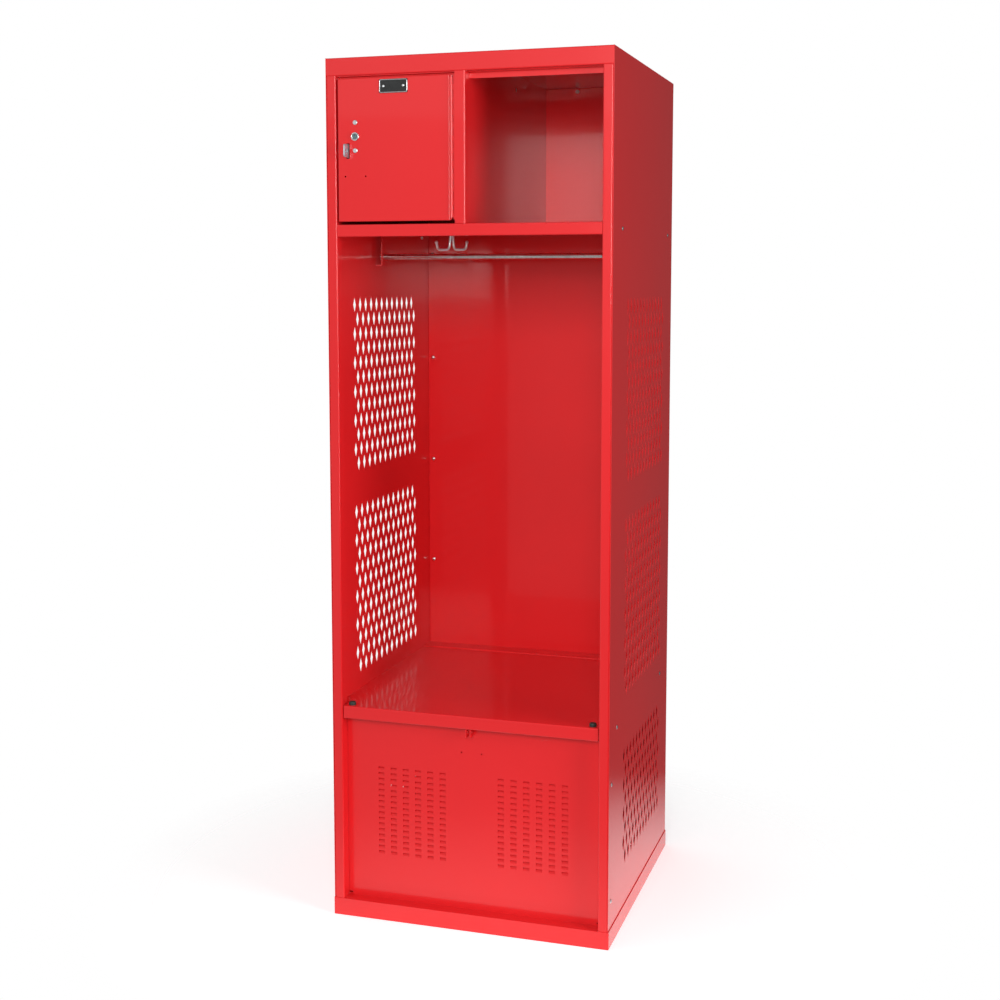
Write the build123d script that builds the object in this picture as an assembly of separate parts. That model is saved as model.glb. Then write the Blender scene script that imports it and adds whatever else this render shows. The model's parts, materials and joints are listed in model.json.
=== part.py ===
"""Open-front gear locker: perforated steel case, security box with a hinged door, open cubby,
coat rod, ceiling hook, and a lift-up bench lid over a louvred foot locker.

Millimetres. +X is to the right, +Y to the rear, +Z up. The origin is on the floor, under the
middle of the locker's whole extent.
"""
import os
from build123d import *

# ---- overall sizes -------------------------------------------------------------------------
WIDTH = 609.6            # over the side panels
DEPTH = 609.6            # front plane to rear face
HEIGHT = 1828.8          # floor to the top panel
SHEET = 1.5              # thickness of every sheet-metal piece
BEND = 2.5               # outside radius of a bend

# ---- frame ---------------------------------------------------------------------------------
POST_FACE = 22.0         # width of the front face, side panel edge included
POST_RETURN = 27.0       # depth of the inner return
POST_LAP = 35.0          # depth of the leg welded to the side panel
HEADER = 36.5            # height of the top panel's front face
HEADER_RETURN = 27.0     # depth of the return under the header
REAR_FLANGE = 22.0       # inward flange along the side panels' rear edges and the top's
PLINTH_HEIGHT = 37.0     # height of the base
PLINTH_LEDGE = 45.0      # depth of the ledge behind the plinth's front face
CASE_LIFT = 2.0          # the case panels end this far above the floor
CASE_FIT = 0.01          # clearance between the case and the plinth around it
LEDGE_PLAY = 0.5         # clearance at each end of the plinth's ledge
FLANGE_GAP = 0.5         # between the rear flanges of the top and of the sides
POST_CLEAR = 1.0         # other sheets stop this far behind the posts and the header's return

# ---- shelf, security box and cubby ---------------------------------------------------------
BOX_HEIGHT = 303.3       # top of the shelf to the underside of the header
SHELF_FACE = 25.0
SHELF_HEM = 12.0
SIDE_FLANGE = 18.0       # down-turned side flanges of the shelf
PARTITION_X = -1.6       # cubby-side face of the partition
PARTITION_FACE = 22.2    # width of the partition's front flange
LIP_DROP = 13.0          # lips that hang below the header's return
LIP_LEG = 12.0           # lips' leg against the header's return
LIP_END = 0.5            # clearance at each end of a lip
BOX_STOP_BACK = 16.0     # the box's top stop stands this far behind the front plane

# ---- security box door ---------------------------------------------------------------------
DOOR_GAP_LOCK = 4.0      # gap between the post and the door's free edge
DOOR_GAP_HINGE = 9.8     # gap between the door and the partition's flange
DOOR_GAP_ENDS = 6.0      # gap above and below the door
DOOR_PAN = 15.5          # depth of the door pan

# ---- hinges --------------------------------------------------------------------------------
LEAF = 1.2               # thickness of a hinge leaf
LEAF_WIDTH = 20.0        # pin axis to the leaf's free edge
CORNER_PLAY = 1.2        # the back panel clears the bends around it by this much
KNUCKLE_R = 3.0
PIN_R = 1.2
PIN_PLAY = 0.05          # radial clearance of a pin in its knuckles
KNUCKLE_PITCH = 25.4     # one knuckle of each leaf
KNUCKLE_GAP = 0.4
LEAF_BACKOFF = 3.5       # a leaf's plate starts this far from the pin axis
LEAF_SHORT = 0.5         # the door leaf ends this far inside the door's edge
HINGE_END = 2.0          # door's end to the end of its hinge
LID_HINGE_END = 4.0      # lid's end to the end of its hinge

# ---- lock, staple and name plate -----------------------------------------------------------
LOCK_INSET = 38.8        # lock axis from the door's free edge
LOCK_DROP = 118.0        # lock axis below the door's top edge
LOCK_RING_R = 8.5
LOCK_RING_PROUD = 2.5
PLUG_R = 5.95
PLUG_SUNK = 0.8          # plug's face behind the ring's rim
PLUG_DEPTH = 9.0         # plug length behind the door's front face
KEYWAY = (1.6, 3.0, 8.0)
LOCK_PLATE = (24.0, 76.0)
LOCK_BODY = (24.0, 28.0)
LOCK_BODY_BACK = 14.0    # rear of the lock body behind the front plane
RIVET_SPREAD = 28.5      # lock rivets above and below the lock axis
RIVET_HEAD = (5.0, 1.6)  # radius and height
NAME_RIVET_HEAD = (2.6, 1.0)
NAME_RIVET_R = 1.15
RIVET_TAIL_H = 0.8
HOLE_PLAY = 0.1
BOLT_WIDTH = 12.0
BOLT_THICK = 3.0
BOLT_BACK = 9.5          # front face of the bolt behind the front plane
BOLT_NOSE = 1.5          # how far the bolt stands out of the door when it is withdrawn
BOLT_THROW = 7.0
BOLT_LENGTH = 34.0
BOLT_SLIDE_PLAY = 0.3
POST_SLOT_PLAY = 1.5     # around the bolt where it enters the post
STAPLE_INSET = 25.0      # staple's near face from the post's inner face
STAPLE_DROP = 29.0       # middle of the staple below the lock axis
STAPLE_HEIGHT = 27.0
STAPLE_THICK = 3.0
STAPLE_PROUD = 21.0
STAPLE_HOLE_R = 4.75
STAPLE_SLOT_CLEAR = 2.0
STAPLE_FOOT_BACK = 18.0  # staple's foot behind the front plane
STAPLE_ROUND = 5.0
PLATE_HOLE_SPACING = 45.0   # number-plate holes
PLATE_HOLE_R = 1.7
PLATE_HOLE_DROP = 81.0      # door's holes below the lock axis
FRONT_PLATE_DROP = 86.0     # foot locker's holes below the bench's top
NAME_PLATE = (62.0, 28.0, 0.8)
NAME_PLATE_FROM_EDGE = 123.5
NAME_PLATE_DROP = 18.5
NAME_PLATE_ROUND = 2.0
NAME_RIVET_SPACING = 43.0
NAME_HOLE_R = 1.2

# ---- coat rod and hook ---------------------------------------------------------------------
ROD_R = 6.35
ROD_BACK = 280.0         # rod axis behind the front plane
ROD_DROP = 62.0          # rod axis below the shelf's top
ROD_PLAY = 0.1
STRAP_OFF_WALL = 12.0
STRAP_THICK = 2.5
STRAP_WIDTH = 28.0
STRAP_TAIL = 20.0        # strap below the rod axis
STRAP_TAB = 18.0         # tab under the shelf
ROD_PAST_STRAP = 6.0
HOOK_FROM_SIDE = 203.0
HOOK_BACK = 200.0
HOOK_WIRE_R = 3.0
HOOK_REACH = 32.0
HOOK_DROP = 50.0
HOOK_FOOT = (12.0, 3.0)  # radius and thickness
HOOK_NECK = (5.0, 10.0)  # radius and length
HOOK_BEND = 7.8
HOOK_TIP = 16.0          # rise of a prong's end
HOOK_SPREAD = 6.0        # prong from the middle before its bend
HOOK_HEAD_H = 1.5

# ---- bench lid and foot locker -------------------------------------------------------------
SEAT_TOP = 465.0
SEAT_FACE = 27.5
SEAT_HEM = 12.0
SEAT_SETBACK = 3.0       # lid face behind the front plane
SEAT_SIDE_GAP = 2.0      # between the lid and the posts
SEAT_REAR_GAP = 4.0      # lid's and rear ledge's edges to the hinge pin axis
SEAT_REST_GAP = 0.3      # between the closed lid and what it rests on
REAR_STRIP = 55.0        # hinge pin axis to the back panel
REAR_LEG = 20.0          # height of the rear ledge's leg on the back panel
LEDGE_DROP = 21.0
LEDGE_WIDTH = 40.0
LEDGE_CLEAR = 2.0        # ledge from the panel's flange and from the hinge's leaf
LEDGE_FIT = 0.5          # ledge from the lid's side and from the rear ledge's leg
PANEL_BACK = 28.5        # foot-locker front behind the front plane
PANEL_FLANGE = 18.0
PANEL_TOP_FLANGE = 20.0
PANEL_NOTCH = (9.0, 6.0)
PANEL_WING_DROP = 20.0   # panel's side flanges end this far below the lid's face
CORNER_CUT = 4.0         # cut at the ends of the panel's top flange
HASP_GAP = 6.4           # between the two padlock tabs
HASP_THICK = 2.0
HASP_DROP = 19.0
HASP_HOLE_R = 4.0
HASP_HOLE_BACK = 13.0    # padlock hole behind the front plane
HASP_ROUND = 3.0
LID_TAB_BACK = (3.5, 22.0)   # lid's tab, front and rear edge behind the front plane
FRONT_TAB_BACK = 6.0     # front edge of the other tab
HASP_LID_GAP = 0.5       # fixed tab below the closed lid
BUMPER_R = 7.5
BUMPER_HEIGHT = 7.5
BUMPER_ROUND = 3.0
BUMPER_INSET = 14.5      # bumper from the lid's side and front edges
BUMPER_FLARE = 2.0       # thickness of the barb under the lid
FLOOR_RIM = 20.0

# ---- louvres -------------------------------------------------------------------------------
LOUVRE_COLUMNS = 6
LOUVRE_ROWS = 16
LOUVRE_PITCH_X = 28.0
LOUVRE_PITCH_Z = 12.45
LOUVRE_WIDTH = 13.5
LOUVRE_HEIGHT = 7.0
LOUVRE_DEPTH = 4.5       # how far the top of each tongue is pressed in
LOUVRE_GROUP_X = 135.0   # middle of each group from the middle of the panel
LOUVRE_DROP = 139.0      # middle of the top row below the bench's top
LOUVRE_LIP = 1.0         # each tongue ends this far below the top of its opening
TONGUE_ROOT = 0.5        # each tongue is rooted this far below its opening

# ---- diamond perforation -------------------------------------------------------------------
DIAMOND = (17.0, 38.0)
DIAMOND_PITCH_Y = 31.75
DIAMOND_PITCH_Z = 31.75
FIELD_MARGIN_Y = 215.0   # depth of a side panel left plain, front and rear together
FIELD_OFFSET = 17.2      # fields' middle behind the side panel's middle
FIELD_ABOVE_SEAT = 34.5  # plain strip over the bench
FIELD_GAP = 75.5         # plain strip between the two upper fields
UPPER_MARGIN = 250.0     # height left plain between the bench and the shelf
FIELD_ABOVE_FLOOR = 91.0
LOWER_MARGIN = 160.0     # height left plain between the floor and the bench

# ---- bolts ---------------------------------------------------------------------------------
BOLT_R = 2.5
BOLT_HEAD_R = 4.6
BOLT_HEAD_H = 2.0
BOLT_PLAY = 0.15
NUT_R = 4.2
NUT_H = 3.0
REAR_BOLT_UNDER = 50.0   # the row under the shelf, from the shelf's top
REAR_BOLT_PITCH = 254.0
REAR_BOLT_END = 60.0     # least distance from the end rows to the floor and the top
REAR_BOLT_INSET = 11.5   # rear bolts from the side panels' inner faces
TOP_BOLT_INSET = 78.3    # outer top bolts from the side panels' inner faces
TOP_BOLT_COUNT = 4
TOP_BOLT_DROP = 8.0
SHELF_BOLT_FRONT = 84.0
SHELF_BOLT_REAR = 54.0
SHELF_BOLT_DROP = 11.0
LEDGE_BOLT_FRONT = 68.5
LEDGE_BOLT_REAR = 92.0
LEDGE_BOLT_DROP = 11.5
FRONT_BOLT_OFF = 5.5     # front bolts ahead of the foot-locker front
FRONT_BOLT_DROP = 121.3  # upper one below the bench's top
FRONT_BOLT_RISE = 58.4   # lower one above the plinth
CLIP_BACK = 357.0
CLIP_DROP = 31.0
CLIP_LENGTH = 40.0
CLIP_LEG = 20.0
CLIP_BELOW = 12.0        # clip's leg below its bolt
ROD_SCREW_BACK = 8.0
ROD_SCREW_IN = 9.0
ANCHOR_HOLE_R = 5.0
ANCHOR_SPACING = 406.4   # wall anchors, at stud spacing
WALL_ANCHOR_DROP = 85.8
FLOOR_ANCHOR_FRONT = 120.0
FLOOR_ANCHOR_REAR = 119.6
FLOOR_ANCHOR_INSET = 60.0

# ---- places worked out from the sizes above ------------------------------------------------
OUT_X = WIDTH / 2
IN_X = OUT_X - SHEET                       # inner faces of the side panels
POST_X = OUT_X - POST_FACE                 # posts' inner faces
# The staple stands furthest out in front, and the nuts of the rear bolts at the rear.
FRONT = -(DEPTH + NUT_H - STAPLE_PROUD) / 2
REAR = FRONT + DEPTH
BACK_FACE = REAR - 2 * SHEET               # inside face of the back panel
CEILING = HEIGHT - SHEET
HEADER_Z = HEIGHT - HEADER
SHELF_TOP = HEADER_Z - BOX_HEIGHT
SHELF_Z = SHELF_TOP - SHEET
PARTITION_LEFT = PARTITION_X - PARTITION_FACE
DOOR_LEFT = -POST_X + DOOR_GAP_LOCK
DOOR_RIGHT = PARTITION_LEFT - DOOR_GAP_HINGE
DOOR_BOTTOM = SHELF_TOP + DOOR_GAP_ENDS
DOOR_TOP = HEADER_Z - DOOR_GAP_ENDS
DOOR_HINGE_X = DOOR_RIGHT + KNUCKLE_R
DOOR_HINGE_Y = FRONT + SHEET + LEAF - KNUCKLE_R
LOCK_X = DOOR_LEFT + LOCK_INSET
LOCK_Z = DOOR_TOP - LOCK_DROP
NAME_PLATE_X = DOOR_LEFT + NAME_PLATE_FROM_EDGE
NAME_PLATE_Z = DOOR_TOP - NAME_PLATE_DROP
DOOR_HINGE_LENGTH = DOOR_TOP - DOOR_BOTTOM - 2 * HINGE_END
STAPLE_X = -POST_X + STAPLE_INSET
STAPLE_Z = LOCK_Z - STAPLE_DROP
ROD_Y = FRONT + ROD_BACK
ROD_Z = SHELF_TOP - ROD_DROP
STRAP_X = IN_X - STRAP_OFF_WALL            # outer faces of the rod straps
SEAT_UNDER = SEAT_TOP - SHEET
SEAT_HINGE_Y = BACK_FACE - REAR_STRIP
SEAT_HINGE_Z = SEAT_UNDER - LEAF + KNUCKLE_R
SEAT_SIDE = POST_X - SEAT_SIDE_GAP          # side edges of the lid
LID_HINGE_X = SEAT_SIDE - LID_HINGE_END
PANEL_TOP = SEAT_UNDER - SEAT_REST_GAP
HASP_Z = SEAT_TOP - SEAT_FACE - HASP_DROP / 2
PLATE_HOLES_Z = SEAT_TOP - FRONT_PLATE_DROP
LOUVRE_TOP = SEAT_TOP - LOUVRE_DROP
FLOOR_TOP = PLINTH_HEIGHT + SHEET
DIAMOND_COLUMNS = int((DEPTH - FIELD_MARGIN_Y) // DIAMOND_PITCH_Y)
UPPER_ROWS = int((SHELF_TOP - SEAT_TOP - UPPER_MARGIN) / 2 // DIAMOND_PITCH_Z)
LOWER_ROWS = int((SEAT_TOP - FLOOR_TOP - LOWER_MARGIN) // DIAMOND_PITCH_Z)
UPPER_FIELD = UPPER_ROWS * DIAMOND_PITCH_Z
DIAMOND_FIELDS = (                         # bottom of each field and its rows
    (FLOOR_TOP + FIELD_ABOVE_FLOOR, LOWER_ROWS),
    (SEAT_TOP + FIELD_ABOVE_SEAT, UPPER_ROWS),
    (SEAT_TOP + FIELD_ABOVE_SEAT + UPPER_FIELD + FIELD_GAP, UPPER_ROWS))
REAR_BOLT_ROW = SHELF_TOP - REAR_BOLT_UNDER
REAR_ROWS_BELOW = int((REAR_BOLT_ROW - REAR_BOLT_END) // REAR_BOLT_PITCH)
REAR_ROWS_ABOVE = int((CEILING - REAR_BOLT_END - REAR_BOLT_ROW) // REAR_BOLT_PITCH)
HOOK_X = -IN_X + HOOK_FROM_SIDE
SIDES = (-1, 1)


# ---- helpers -------------------------------------------------------------------------------
def block(x, y, z):
    """A box from three pairs of limits."""
    size = [abs(pair[1] - pair[0]) for pair in (x, y, z)]
    middle = [(pair[0] + pair[1]) / 2 for pair in (x, y, z)]
    return Pos(*middle) * Box(*size)


def around(middle, half):
    """The pair of limits at equal distances from a middle."""
    return (middle - half, middle + half)


def rod(radius, start, end):
    """A round bar between two points on a line parallel to an axis."""
    start, end = Vector(*start), Vector(*end)
    plane = Plane(origin=start, z_dir=end - start)
    return extrude(plane * Circle(radius), amount=(end - start).length)


def offset_path(points, distance):
    """The mitred offset of an open path, to its left when the distance is positive."""
    vectors = [Vector(*point) for point in points]
    runs = [(b - a).normalized() for a, b in zip(vectors, vectors[1:])]
    lefts = [Vector(-run.Y, run.X) for run in runs]
    shifted = [vectors[0] + lefts[0] * distance]
    for corner, before, after in zip(vectors[1:-1], lefts, lefts[1:]):
        mitre = (before + after) / (1 + before.dot(after))
        shifted.append(corner + mitre * distance)
    shifted.append(vectors[-1] + lefts[-1] * distance)
    return [(point.X, point.Y) for point in shifted]


def bent_profile(points, side):
    """The section of a bent sheet whose outside follows the path; side is 1 for its left."""
    inner = offset_path(points, SHEET * side)
    outside = FilletPolyline(*points, radius=BEND)
    inside = FilletPolyline(*inner, radius=BEND - SHEET)
    ends = [Line(points[0], inner[0]), Line(points[-1], inner[-1])]
    edges = outside.edges() + inside.edges() + ends[0].edges() + ends[1].edges()
    return make_face(edges)


def bent_along_x(points, side, x0, x1):
    """A bent sheet with its section in Y and Z, between two X limits."""
    plane = Plane(origin=(x0, 0, 0), x_dir=(0, 1, 0), z_dir=(1, 0, 0))
    return extrude(plane * bent_profile(points, side), amount=x1 - x0, dir=(1, 0, 0))


def bent_along_z(points, side, z0, z1):
    """A bent sheet with its section in X and Y, between two Z limits."""
    plane = Plane(origin=(0, 0, z0))
    return extrude(plane * bent_profile(points, side), amount=z1 - z0, dir=(0, 0, 1))


def mirrored(points, side):
    """Path points given for the right side, for either side."""
    return [(x * side, y) for x, y in points]


def dome_bolt(head, direction, grip):
    """A dome-head bolt with a nut; head is where the head meets the sheet."""
    plane = Plane(origin=head, z_dir=direction)
    bulge_r = (BOLT_HEAD_R ** 2 + BOLT_HEAD_H ** 2) / (2 * BOLT_HEAD_H)
    cap = Pos(0, 0, bulge_r - BOLT_HEAD_H) * Sphere(bulge_r)
    cap &= Pos(0, 0, -BOLT_HEAD_H / 2) * Cylinder(BOLT_HEAD_R, BOLT_HEAD_H)
    shank = Pos(0, 0, (grip + NUT_H) / 2) * Cylinder(BOLT_R, grip + NUT_H)
    nut = Pos(0, 0, grip) * extrude(RegularPolygon(NUT_R, 6), amount=NUT_H)
    return plane * (cap + shank + nut)


def drill(radius, place, direction):
    """A short cutter through a thin wall, about a point on the wall."""
    middle = Vector(*place)
    along = Vector(*direction) * (4 * SHEET)
    return rod(radius, middle - along, middle + along)


def bolt_drills(places, direction):
    """Cutters for the clearance holes of bolts through a thin wall."""
    return [drill(BOLT_R + BOLT_PLAY, place, direction) for place in places]


def solids_of(shapes):
    """Separate solids kept together as one group."""
    return Compound(children=[solid for shape in shapes for solid in shape.solids()])


# ---- where the bolts go --------------------------------------------------------------------
def side_bolt_places(side, spots):
    """Points on the outside of a side panel, from distances behind the front and heights."""
    return [(side * OUT_X, FRONT + back, z) for back, z in spots]


SHELF_BOLTS = [(back, SHELF_TOP - SHELF_BOLT_DROP)
               for back in (SHELF_BOLT_FRONT, DEPTH - SHELF_BOLT_REAR)]
LEDGE_BOLTS = [(back, SEAT_UNDER - LEDGE_BOLT_DROP)
               for back in (LEDGE_BOLT_FRONT, DEPTH - LEDGE_BOLT_REAR)]
FRONT_BOLTS = [(PANEL_BACK - FRONT_BOLT_OFF, z)
               for z in (SEAT_TOP - FRONT_BOLT_DROP, PLINTH_HEIGHT + FRONT_BOLT_RISE)]
REAR_BOLT_X = IN_X - REAR_BOLT_INSET
REAR_BOLTS = [(side * REAR_BOLT_X, BACK_FACE, REAR_BOLT_ROW + REAR_BOLT_PITCH * row)
              for side in SIDES for row in range(-REAR_ROWS_BELOW, REAR_ROWS_ABOVE + 1)]
TOP_BOLT_X = IN_X - TOP_BOLT_INSET
TOP_BOLT_PITCH = 2 * TOP_BOLT_X / (TOP_BOLT_COUNT - 1)
TOP_BOLTS = [(TOP_BOLT_PITCH * index - TOP_BOLT_X, BACK_FACE, CEILING - TOP_BOLT_DROP)
             for index in range(TOP_BOLT_COUNT)]
CLIP_BOLT = (PARTITION_X, FRONT + CLIP_BACK, CEILING - CLIP_DROP)


# ---- case ----------------------------------------------------------------------------------
def diamond_field(bottom, rows):
    """Wires of one field of diamonds, every other row below the top one half a pitch back."""
    wires = []
    half_y, half_z = DIAMOND[0] / 2, DIAMOND[1] / 2
    middle = FRONT + DEPTH / 2 + FIELD_OFFSET
    first_y = middle - (DIAMOND_COLUMNS - 0.5) * DIAMOND_PITCH_Y / 2
    for row in range(rows):
        z = bottom + (row + 0.5) * DIAMOND_PITCH_Z
        shift = DIAMOND_PITCH_Y / 2 * ((rows - 1 - row) % 2)
        for column in range(DIAMOND_COLUMNS):
            y = first_y + shift + column * DIAMOND_PITCH_Y
            wires.append(Wire.make_polygon([(0, y - half_y, z), (0, y, z - half_z),
                                            (0, y + half_y, z), (0, y, z + half_z)]))
    return wires


def side_panel(side):
    """Perforated side with its rear edge turned in."""
    rear_start = REAR - 2 * BEND
    outline = Wire.make_polygon([(0, FRONT, CASE_LIFT), (0, rear_start, CASE_LIFT),
                                 (0, rear_start, HEIGHT), (0, FRONT, HEIGHT)])
    holes = [wire for bottom, rows in DIAMOND_FIELDS for wire in diamond_field(bottom, rows)]
    for back, z in SHELF_BOLTS + LEDGE_BOLTS + FRONT_BOLTS:
        plane = Plane(origin=(0, FRONT + back, z), z_dir=(1, 0, 0))
        holes.append(Wire.make_circle(BOLT_R + BOLT_PLAY, plane))
    face = Pos(side * OUT_X, 0, 0) * Face(outline, holes)
    web = extrude(face, amount=SHEET, dir=(-side, 0, 0))
    path = [(OUT_X, rear_start), (OUT_X, REAR), (OUT_X - REAR_FLANGE, REAR)]
    flange = bent_along_z(mirrored(path, side), side, CASE_LIFT, HEIGHT - REAR_FLANGE)
    flange -= bolt_drills([spot for spot in REAR_BOLTS if spot[0] * side > 0], (0, 1, 0))
    corner = block((side * OUT_X, side * IN_X), (rear_start, REAR - SHEET),
                   (HEIGHT - REAR_FLANGE, HEIGHT))
    return web.fuse(flange, corner)


def front_post(side):
    """Channel behind the front edge of a side panel."""
    path = [(IN_X, FRONT + POST_LAP), (IN_X, FRONT), (POST_X, FRONT), (POST_X, FRONT + POST_RETURN)]
    post = bent_along_z(mirrored(path, side), -side, CASE_LIFT, HEADER_Z)
    post -= bolt_drills(side_bolt_places(side, FRONT_BOLTS), (1, 0, 0))
    if side < 0:
        slot_y = FRONT + BOLT_BACK + BOLT_THICK / 2
        post -= block((-POST_X - 2 * SHEET, -POST_X + SHEET), around(slot_y, BOLT_THICK),
                      around(LOCK_Z, BOLT_WIDTH / 2 + POST_SLOT_PLAY))
    return post


def top_panel():
    """Top sheet with the header face and its return in front, and a rear flange."""
    path = [(REAR, HEIGHT - REAR_FLANGE + FLANGE_GAP), (REAR, HEIGHT), (FRONT, HEIGHT),
            (FRONT, HEADER_Z), (FRONT + HEADER_RETURN, HEADER_Z)]
    panel = bent_along_x(path, 1, -IN_X, IN_X)
    return panel - bolt_drills(TOP_BOLTS, (0, 1, 0))


def back_panel():
    """Flat back, bolted inside the rear flanges."""
    half = IN_X - CORNER_PLAY
    panel = block((-half, half), (BACK_FACE, BACK_FACE + SHEET), (CASE_LIFT, CEILING - CORNER_PLAY))
    anchors = [(side * ANCHOR_SPACING / 2, BACK_FACE, HEIGHT - WALL_ANCHOR_DROP) for side in SIDES]
    drills = bolt_drills(REAR_BOLTS + TOP_BOLTS, (0, 1, 0))
    drills += [drill(ANCHOR_HOLE_R, place, (0, 1, 0)) for place in anchors]
    return panel - drills


def plinth():
    """Base frame around the foot of the case, with a ledge behind its front face."""
    outer = Rectangle(WIDTH + 2 * SHEET, DEPTH + 2 * SHEET)
    outer = fillet(outer.vertices(), BEND)
    inner = Rectangle(WIDTH + 2 * CASE_FIT, DEPTH + 2 * CASE_FIT)
    ring = Pos(0, (FRONT + REAR) / 2, 0) * (outer - inner)
    walls = extrude(ring, amount=PLINTH_HEIGHT)
    half = POST_X - LEDGE_PLAY
    ledge = block((-half, half), (FRONT - SHEET / 2, FRONT + PLINTH_LEDGE),
                  (PLINTH_HEIGHT - SHEET, PLINTH_HEIGHT))
    return walls + ledge


def floor_pan():
    """Floor of the foot locker, with its side rims turned up."""
    front = FRONT + PANEL_BACK + SHEET
    rim_front = FRONT + POST_LAP + POST_CLEAR
    pan = block((-IN_X, IN_X), (front, BACK_FACE), (PLINTH_HEIGHT, FLOOR_TOP))
    cutters = []
    for side in SIDES:
        pan += block((side * IN_X, side * (IN_X - SHEET)), (rim_front, BACK_FACE),
                     (PLINTH_HEIGHT, PLINTH_HEIGHT + FLOOR_RIM))
        cutters.append(block((side * IN_X, side * (IN_X - 3 * SHEET)), (front - SHEET, rim_front),
                             (PLINTH_HEIGHT - SHEET, FLOOR_TOP + SHEET)))
        for y in (FRONT + FLOOR_ANCHOR_FRONT, REAR - FLOOR_ANCHOR_REAR):
            place = (side * (IN_X - FLOOR_ANCHOR_INSET), y, PLINTH_HEIGHT)
            cutters.append(drill(ANCHOR_HOLE_R, place, (0, 0, 1)))
    return pan - cutters


# ---- shelf and partition -------------------------------------------------------------------
def shelf():
    """Shelf under the security box and cubby, notched around the posts."""
    path = [(FRONT + SHELF_HEM, SHELF_TOP - SHELF_FACE), (FRONT, SHELF_TOP - SHELF_FACE),
            (FRONT, SHELF_TOP), (BACK_FACE, SHELF_TOP)]
    plate = bent_along_x(path, -1, -IN_X, IN_X)
    notch_y = (FRONT - SHEET, FRONT + POST_LAP + POST_CLEAR)
    notch_z = (SHELF_TOP - SHELF_FACE - SHEET, SHELF_TOP + SHEET)
    plate -= [block((side * POST_X, side * OUT_X), notch_y, notch_z) for side in SIDES]
    flange_y = (notch_y[1] + POST_CLEAR, BACK_FACE)
    flange_z = (SHELF_TOP - SIDE_FLANGE, SHELF_TOP)
    plate += [block((side * IN_X, side * (IN_X - SHEET)), flange_y, flange_z) for side in SIDES]
    upright = [(HOOK_X, FRONT + HOOK_BACK, SHELF_TOP)]
    drills = []
    for side in SIDES:
        drills += bolt_drills(side_bolt_places(side, SHELF_BOLTS), (1, 0, 0))
        upright += rod_screw_places(side)
    return plate - (drills + bolt_drills(upright, (0, 0, 1)))


def partition():
    """Upright sheet between the security box and the cubby."""
    web_front = FRONT + 2 * BEND
    path = [(PARTITION_LEFT, FRONT), (PARTITION_X, FRONT), (PARTITION_X, web_front)]
    web_x = (PARTITION_X - SHEET, PARTITION_X)
    sheet = bent_along_z(path, 1, SHELF_TOP, HEADER_Z)
    sheet += block(web_x, (web_front, BACK_FACE), (SHELF_TOP, HEADER_Z))
    sheet += block(web_x, (FRONT + HEADER_RETURN + POST_CLEAR, BACK_FACE), (HEADER_Z, CEILING))
    return sheet - bolt_drills([CLIP_BOLT], (1, 0, 0))


def partition_clip():
    """Angle that ties the partition to the ceiling."""
    y = around(CLIP_BOLT[1], CLIP_LENGTH / 2)
    face = PARTITION_X - SHEET
    clip = block((face - SHEET, face), y, (CLIP_BOLT[2] - CLIP_BELOW, CEILING))
    clip += block((face - CLIP_LEG, face), y, (CEILING - SHEET, CEILING))
    return clip - bolt_drills([CLIP_BOLT], (1, 0, 0))


def hanging_lip(back, x0, x1):
    """Angle under the header's return, its upright leg hanging down."""
    bottom = HEADER_Z - LIP_DROP
    path = [(FRONT + back - LIP_LEG, HEADER_Z), (FRONT + back, HEADER_Z), (FRONT + back, bottom)]
    return bent_along_x(path, -1, x0, x1)


# ---- hinges --------------------------------------------------------------------------------
def knuckle_starts(length, first):
    """Where a leaf's knuckles begin along its length; first is 0 or 1 for the two leaves."""
    half = KNUCKLE_PITCH / 2
    count = int(length // half)
    spare = (length - count * half) / 2
    return [spare + half * index for index in range(first, count, 2)]


def hinge_leaf(length, first, width):
    """A leaf along +Z with its pin axis on Z, its plate along +X and its face tangent at +Y."""
    plate = block((LEAF_BACKOFF, width), (KNUCKLE_R - LEAF, KNUCKLE_R), (0, length))
    tab_x = (0, LEAF_BACKOFF + LEAF / 2)
    tab = Pos(sum(tab_x) / 2, KNUCKLE_R - LEAF / 2) * Rectangle(tab_x[1], LEAF)
    section = (Circle(KNUCKLE_R) + tab) - Circle(PIN_R + PIN_PLAY)
    knuckle = extrude(section, amount=KNUCKLE_PITCH / 2 - KNUCKLE_GAP)
    starts = knuckle_starts(length, first)
    return plate.fuse(*[Pos(0, 0, start + KNUCKLE_GAP / 2) * knuckle for start in starts])


def door_hinge_frame_leaf():
    """Leaf behind the partition's flange."""
    leaf = hinge_leaf(DOOR_HINGE_LENGTH, 0, LEAF_WIDTH)
    return Pos(DOOR_HINGE_X, DOOR_HINGE_Y, DOOR_BOTTOM + HINGE_END) * leaf


def door_hinge_door_leaf():
    """Leaf on the door's edge, reaching back from the pin."""
    leaf = hinge_leaf(DOOR_HINGE_LENGTH, 1, DOOR_PAN - LEAF_SHORT)
    return Pos(DOOR_HINGE_X, DOOR_HINGE_Y, DOOR_BOTTOM + HINGE_END) * Rot(0, 0, 90) * leaf


def door_hinge_pin():
    """Pin of the security box hinge."""
    return rod(PIN_R, (DOOR_HINGE_X, DOOR_HINGE_Y, DOOR_BOTTOM + HINGE_END),
               (DOOR_HINGE_X, DOOR_HINGE_Y, DOOR_TOP - HINGE_END))


def lid_leaf(first, x_dir):
    """A leaf of the lid's hinge, its pin along X and its plate along x_dir."""
    start = (LID_HINGE_X, SEAT_HINGE_Y, SEAT_HINGE_Z)
    plane = Plane(origin=start, x_dir=x_dir, z_dir=(-1, 0, 0))
    leaf = hinge_leaf(2 * LID_HINGE_X, first, LEAF_WIDTH)
    return plane.location * (leaf.mirror(Plane.XZ) if first else leaf)


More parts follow.
